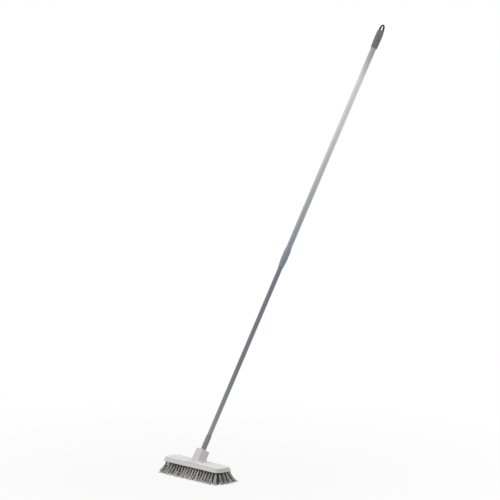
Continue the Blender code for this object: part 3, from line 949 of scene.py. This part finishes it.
def makeNut(form):
    # an S-shaped outside, a bore for the thread's crests and a cone that squeezes the collet
    base, mouth = form["nutStart"], form["nutMouth"]
    top = base + form["nutLength"]
    full = top - form["nutLength"] * form["nutFull"]
    crest = form["nose"] + form["threadDepth"] + form["threadPlay"]
    outside = spindle(form["radius"], mouth, base + 0.0004, full)
    inside = roundedProfile([
        (form["radius"], top, 0.0005),
        (crest, top, 0.0003),
        (crest, base + form["coneHigh"], 0.0),
        (form["coneRadius"], base + form["coneLow"], 0.0),
        (form["bore"], base + form["coneLow"], 0.0),
        (form["bore"], base, 0.0002),
        (mouth - 0.0002, base, 0.0002),
    ])

    def flutes(angle, radius, place):
        # shallow hollows for the hand, fading out at both ends of the nut
        fade = smoothStep(place, base + 0.008, base + 0.016)
        fade = fade * (1 - smoothStep(place, top - 0.0060, top - 0.0030))
        outer = smoothStep(radius, mouth + 0.0008, mouth + 0.0014)
        hollow = (0.5 - 0.5 * np.cos(form["flutes"] * angle)) ** 1.5
        return -form["fluteDepth"] * fade * outer * hollow

    profile = np.concatenate([outside, inside])
    columns = form["flutes"] * 10
    return turnedPiece("lock_hand_nut", profile, lockPlastic, columns=columns, relief=flutes)


def makeLockBody(form):
    # an S-shaped outside over the tube's seat, and below it the nose that carries the thread
    nose = form["nose"]
    start = form["nutStart"] + form["nutLength"] + form["gap"]
    end = start + form["bodyLength"]
    full = start + form["bodyLength"] * form["bodyFull"]
    noseStart = start - form["noseLength"]
    outside = spindle(form["radius"], form["bodyTop"], end - 0.0006, full)
    low = roundedProfile([(form["radius"], start, 0.0005), (nose, start, 0.0)], 6)
    nosePlace = np.linspace(start - 0.0006, noseStart + 0.0004, 96)
    noseLine = np.stack([np.full(96, nose), nosePlace], axis=-1)
    rest = roundedProfile([
        (nose, noseStart, 0.0003),
        (form["bore"], noseStart, 0.0002),
        (form["bore"], start + form["ledge"], 0.0),
        (form["seat"], start + form["ledge"], 0.0),
        (form["seat"], end, 0.0002),
        (form["bodyTop"], end, 0.0004),
    ])
    profile = np.concatenate([outside, low, noseLine, rest])

    def thread(angle, radius, place):
        # a right-hand ridge: a blunt wave of place / pitch - angle / 2 pi, faded at both ends
        along = np.mod(place / form["threadPitch"] - angle / math.tau, 1.0)
        wave = smoothStep(0.5 - np.abs(along - 0.5), 0.16, 0.34)
        fade = smoothStep(place, noseStart + 0.0015, noseStart + 0.0040)
        fade = fade * (1 - smoothStep(place, start - 0.0045, start - 0.0020))
        onNose = (np.abs(radius - nose) < 0.00005) & (place < start)
        return np.where(onNose, form["threadDepth"] * wave * fade, 0.0)

    return turnedPiece("lock_sleeve", profile, lockPlastic, columns=120, relief=thread)


seat(makeNut(lockForm), "nut", "lock_plastic", "lock_nut")
seat(makeLockBody(lockForm), "outer_pole", "lock_plastic", "lock_body")
print("pole and twist lock made")


# The grip: round at its mouth, flat at its tip, with a hanging hole
gripForm = {
    "start": 1.5705,
    "length": 0.0886,
    "radius": 0.0125,
    "mouth": 0.0117,
    "swell": 0.030,
    "noseLength": 0.036,
    "nosePower": 2.3,
    "seatDepth": 0.048,
    "seat": 0.00995,
    "flat": 0.0046,
    "scoop": 0.060,
    "holeLength": 0.0158,
    "holeLow": 0.0045,  # radius of its lower end
    "holeHigh": 0.0034,  # and of its upper end
    "holeRim": 0.0060,
    "holeRound": 0.0016,
    "holeSide": 0.25,  # share of the upper edge's columns on each straight side
    "splitBelow": 0.0060,  # from the hole down to the body's rings
    "soft": 0.0022,
    "grooveDepth": 0.0005,
    "groovePlace": 0.0050,
    "grooveWide": 0.0007,
    "half": 48,
    "upper": 96,
}


def makeGrip(form):
    # Seen along X the grip is an outline R(s) with a teardrop hole in it. Its half thickness is
    # the soft minimum of sqrt(R^2 - y^2) and the scooped faces, rounded off towards the hole.
    base, soft = form["start"], form["soft"]
    end = base + form["length"]
    half, upper = form["half"], form["upper"]
    holeLow, holeHigh = form["holeLow"], form["holeHigh"]
    scoopMiddle = end - form["holeRim"] - holeLow
    lowCentre = end - form["holeRim"] - form["holeLength"] + holeLow
    highCentre = end - form["holeRim"] - holeHigh
    split = lowCentre - holeLow - form["splitBelow"]

    def outline(s):
        # from the mouth's radius to the full one, a rounded nose, and one groove near the mouth
        swell = smoothStep(s, base, base + form["swell"])
        swell = form["mouth"] + (form["radius"] - form["mouth"]) * swell
        share = np.clip((end - s) / form["noseLength"], 0, 1)
        nose = (1 - (1 - share) ** form["nosePower"]) ** (1 / form["nosePower"])
        groove = np.exp(-(((s - base - form["groovePlace"]) / form["grooveWide"]) ** 2))
        return swell * nose - form["grooveDepth"] * groove

    def face(s):
        # half the thickness between the scoops: arcs of a large circle
        scoop = form["scoop"]
        away = np.clip(np.abs(s - scoopMiddle), 0, scoop * 0.95)
        return form["flat"] / 2 + scoop - np.sqrt(scoop**2 - away**2)

    # outer targets: along the split line from left to right, then over the tip and back
    alpha = np.linspace(np.pi, 0, half + 1)
    lowY, lowS = outline(split) * np.cos(alpha), np.full(half + 1, split)
    beta = np.linspace(0, np.pi, upper + 1)[1:-1]
    tipS = end - (end - split) * (1 - np.sin(beta))
    tipY = outline(tipS) * np.where(beta < np.pi / 2, 1, -1)
    outerY, outerS = np.concatenate([lowY, tipY]), np.concatenate([lowS, tipS])

    # the hole's edge: the lower half circle from left to right, then the sides and the upper one
    gamma = np.linspace(np.pi, math.tau, half + 1)
    holeLowY, holeLowS = holeLow * np.cos(gamma), lowCentre + holeLow * np.sin(gamma)
    share = np.linspace(0, 1, upper + 1)[1:-1]
    part = form["holeSide"]
    rising = np.clip(share / part, 0, 1) * (share < 0.5)
    up = rising + np.clip((1 - share) / part, 0, 1) * (share >= 0.5)
    cap = np.clip((share - part) / (1 - 2 * part), 0, 1) * np.pi
    onSide = (share < part) | (share > 1 - part)
    sideY = (holeLow + (holeHigh - holeLow) * up) * np.where(share < 0.5, 1, -1)
    sideS = lowCentre + (highCentre - lowCentre) * up
    holeUpY = np.where(onSide, sideY, holeHigh * np.cos(cap))
    holeUpS = np.where(onSide, sideS, highCentre + holeHigh * np.sin(cap))
    holeY, holeS = np.concatenate([holeLowY, holeUpY]), np.concatenate([holeLowS, holeUpS])

    # the two faces, from the hole's edge out to the targets
    k = 0.5 - 0.5 * np.cos(np.linspace(0, np.pi, 28))[:, None]
    y = holeY + (outerY - holeY) * k
    s = holeS + (outerS - holeS) * k
    span = np.hypot(outerY - holeY, outerS - holeS)
    away = np.clip(k * span / form["holeRound"], 0, 1)
    rounding = np.sqrt(1 - (1 - away) ** 2)
    chord = np.sqrt(np.clip(outline(s) ** 2 - y**2, 0, None))
    thick = np.clip(softMin(chord, face(s) + 0 * y, soft) * rounding, 0, None)
    thick[-1, half:] = 0
    thick[-1, 0] = 0
    thick[0] = 0
    front, back = onPole(thick, y, s), onPole(-thick, y, s)
    columns = half + upper
    quads = gridFaces(len(k), columns)
    sheets = [quads, quads[:, ::-1] + len(k) * columns]
    points = [front.reshape(-1, 3), back.reshape(-1, 3)]
    places = [s.ravel(), s.ravel()]

    # the body below the split line, down to the mouth and up inside to the tube's seat
    ring = np.concatenate([alpha, -alpha[::-1][1:-1]])
    bodyS = np.concatenate([
        np.linspace(split, base + 0.0085, 44),
        np.linspace(base + 0.0080, base + 0.0022, 22),
        np.linspace(base + 0.0016, base + 0.0006, 4),
    ])[:, None]
    bodyY, wide = outline(bodyS) * np.cos(ring), np.abs(outline(bodyS) * np.sin(ring))
    bodyX = np.clip(softMin(wide, face(bodyS) + 0 * bodyY, soft), 0, None)
    bodyX = bodyX * np.sign(np.round(np.sin(ring), 9))
    mouth, seatRadius, seatTop = form["mouth"], form["seat"], base + form["seatDepth"]
    inner = np.array([
        (mouth - 0.0001, base + 0.0002), (mouth - 0.0004, base),
        (seatRadius + 0.0003, base), (seatRadius, base + 0.0003),
        (seatRadius, seatTop), (0.0, seatTop),
    ])
    innerR, innerS = inner[:, :1], inner[:, 1:]
    inside = onPole(innerR * np.sin(ring), innerR * np.cos(ring), innerS + 0 * ring)
    body = np.concatenate([onPole(bodyX, bodyY, bodyS + 0 * bodyY), inside])
    sheets.append(gridFaces(len(body), len(ring), 2 * len(k) * columns))
    points.append(body.reshape(-1, 3))
    places.append(np.repeat(np.concatenate([bodyS, innerS]).ravel(), len(ring)))
    loop = smoothStep(np.concatenate(places), lowCentre - 0.006, lowCentre + 0.002)
    points, quads = np.concatenate(points), np.concatenate(sheets)
    return meshPiece("pole_grip", points, quads, gripPlastic, {"loopShade": loop}, 2e-6, 60)


seat(makeGrip(gripForm), "outer_pole", "grip_plastic", "hang_grip")
for node in ("threaded_tip", "slide_bush", "lock_collet"):
    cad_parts[node].material_slots[0].material = lockPlastic
print("grip made")


# Floor, light and camera
stageForm = {
    "floor": 90.0,
    "color": (0.52, 0.52, 0.52),
    "nearGlow": 0.87,  # share of plain white in what is seen of the floor beside the head
    "farGlow": 1.0,
    "near": 0.15,
    "far": 1.6,
}


def makeStage(form):
    # A white floor. It is lit and shaded as a grey one, and what is seen of it is mixed with plain
    # white, more of it further from the head: share = near + (far - near) step(distance).
    half = form["floor"] / 2
    corners = [(-half, -half, 0), (half, -half, 0), (half, half, 0), (-half, half, 0)]
    mesh = bpy.data.meshes.new("studio_floor")
    mesh.from_pydata(corners, [], [(0, 1, 2, 3)])
    floor = bpy.data.objects.new("studio_floor", mesh)
    scene.collection.objects.link(floor)
    made = Finish("studioWhite")
    made.set(baseColor=form["color"], roughness=0.9, specularIorLevel=0.0)
    path = made.node("LightPath")
    seen = path["Is Camera Ray"] | path["Is Glossy Ray"] | path["Is Transmission Ray"]
    distance = made.node("VectorMath", {"operation": "LENGTH"}, {"Vector": made.spot()})["Value"]
    away = made.between(distance, form["near"], form["far"])
    white = form["nearGlow"] + (form["farGlow"] - form["nearGlow"]) * away
    plain = made.node("Emission", {}, {"Color": (1.0, 1.0, 1.0), "Strength": 1.0})["Emission"]
    lit = Wire(made, made.shader.outputs["BSDF"])
    sockets = {"Fac": seen * white, "Shader": lit, "Shader_001": plain}
    surface = made.node("MixShader", {}, sockets)["Shader"]
    made.put(made.tree.nodes["Material Output"].inputs["Surface"], surface)
    mesh.materials.append(made.material)


lightForm = {
    "world": 0.70,
    "key": {"power": 1.65, "angle": 45.0, "way": (-0.35, 0.12, 1.00)},
    "fill": {"power": 0.16, "angle": 22.0, "way": (-0.42, -0.94, 0.40)},
}


def facing(thing, place, aim):
    # stands at a place and looks along -Z at the aim, with its Y axis towards the sky
    thing.location = place
    thing.rotation_euler = mathutils.Vector(aim - place).to_track_quat("-Z", "Y").to_euler()


def makeLight(form):
    # An even grey sky that is seen as white, a broad sun from above, and a weak one from the left
    # of the picture
    world = bpy.data.worlds.new("studio")
    scene.world = world
    world.use_nodes = True
    nodes, links = world.node_tree.nodes, world.node_tree.links
    sky, seen = nodes["Background"], nodes.new("ShaderNodeBackground")
    for shade, strength in ((sky, form["world"]), (seen, 1.0)):
        shade.inputs["Color"].default_value = (1.0, 1.0, 1.0, 1.0)
        shade.inputs["Strength"].default_value = strength
    path, mix = nodes.new("ShaderNodeLightPath"), nodes.new("ShaderNodeMixShader")
    links.new(path.outputs["Is Camera Ray"], mix.inputs["Fac"])
    links.new(sky.outputs["Background"], mix.inputs[1])
    links.new(seen.outputs["Background"], mix.inputs[2])
    links.new(mix.outputs["Shader"], nodes["World Output"].inputs["Surface"])
    for name in ("key", "fill"):
        lamp = form[name]
        data = bpy.data.lights.new(name + "_light", "SUN")
        data.energy, data.angle = lamp["power"], math.radians(lamp["angle"])
        light = bpy.data.objects.new(name + "_light", data)
        scene.collection.objects.link(light)
        facing(light, np.array(lamp["way"]) * 3, np.zeros(3))


cameraForm = {
    "azimuth": 50.0,
    "elevation": 11.0,
    "distance": 80.0,
    "sensor": 36.0,
    "pixel": 0.00345,  # metres across one pixel of the photograph at the pole's foot
    "footPixel": (198.19, 461.37),
    "frame": 500,
}


def makeCamera(form):
    # looks level with the photograph: the pole's foot is carried to its pixel by shifting the aim
    a, e = math.radians(form["azimuth"]), math.radians(form["elevation"])
    right = np.array([math.cos(a), math.sin(a), 0.0])
    back = np.array([math.sin(a) * math.cos(e), -math.cos(a) * math.cos(e), math.sin(e)])
    up, middle = np.cross(back, right), form["frame"] / 2
    aim = poleFoot + right * (middle - form["footPixel"][0]) * form["pixel"]
    aim = aim + up * (form["footPixel"][1] - middle) * form["pixel"]
    data = bpy.data.cameras.new("photo_view")
    data.sensor_width = form["sensor"]
    data.lens = form["sensor"] * form["distance"] / (form["pixel"] * form["frame"])
    data.clip_end = 400.0
    camera = bpy.data.objects.new("photo_view", data)
    scene.collection.objects.link(camera)
    facing(camera, aim + back * form["distance"], aim)
    scene.camera = camera


makeStage(stageForm)
makeLight(lightForm)
makeCamera(cameraForm)
scene.view_settings.view_transform = "Standard"
print("stage, light and camera made")

bpy.context.view_layer.update()
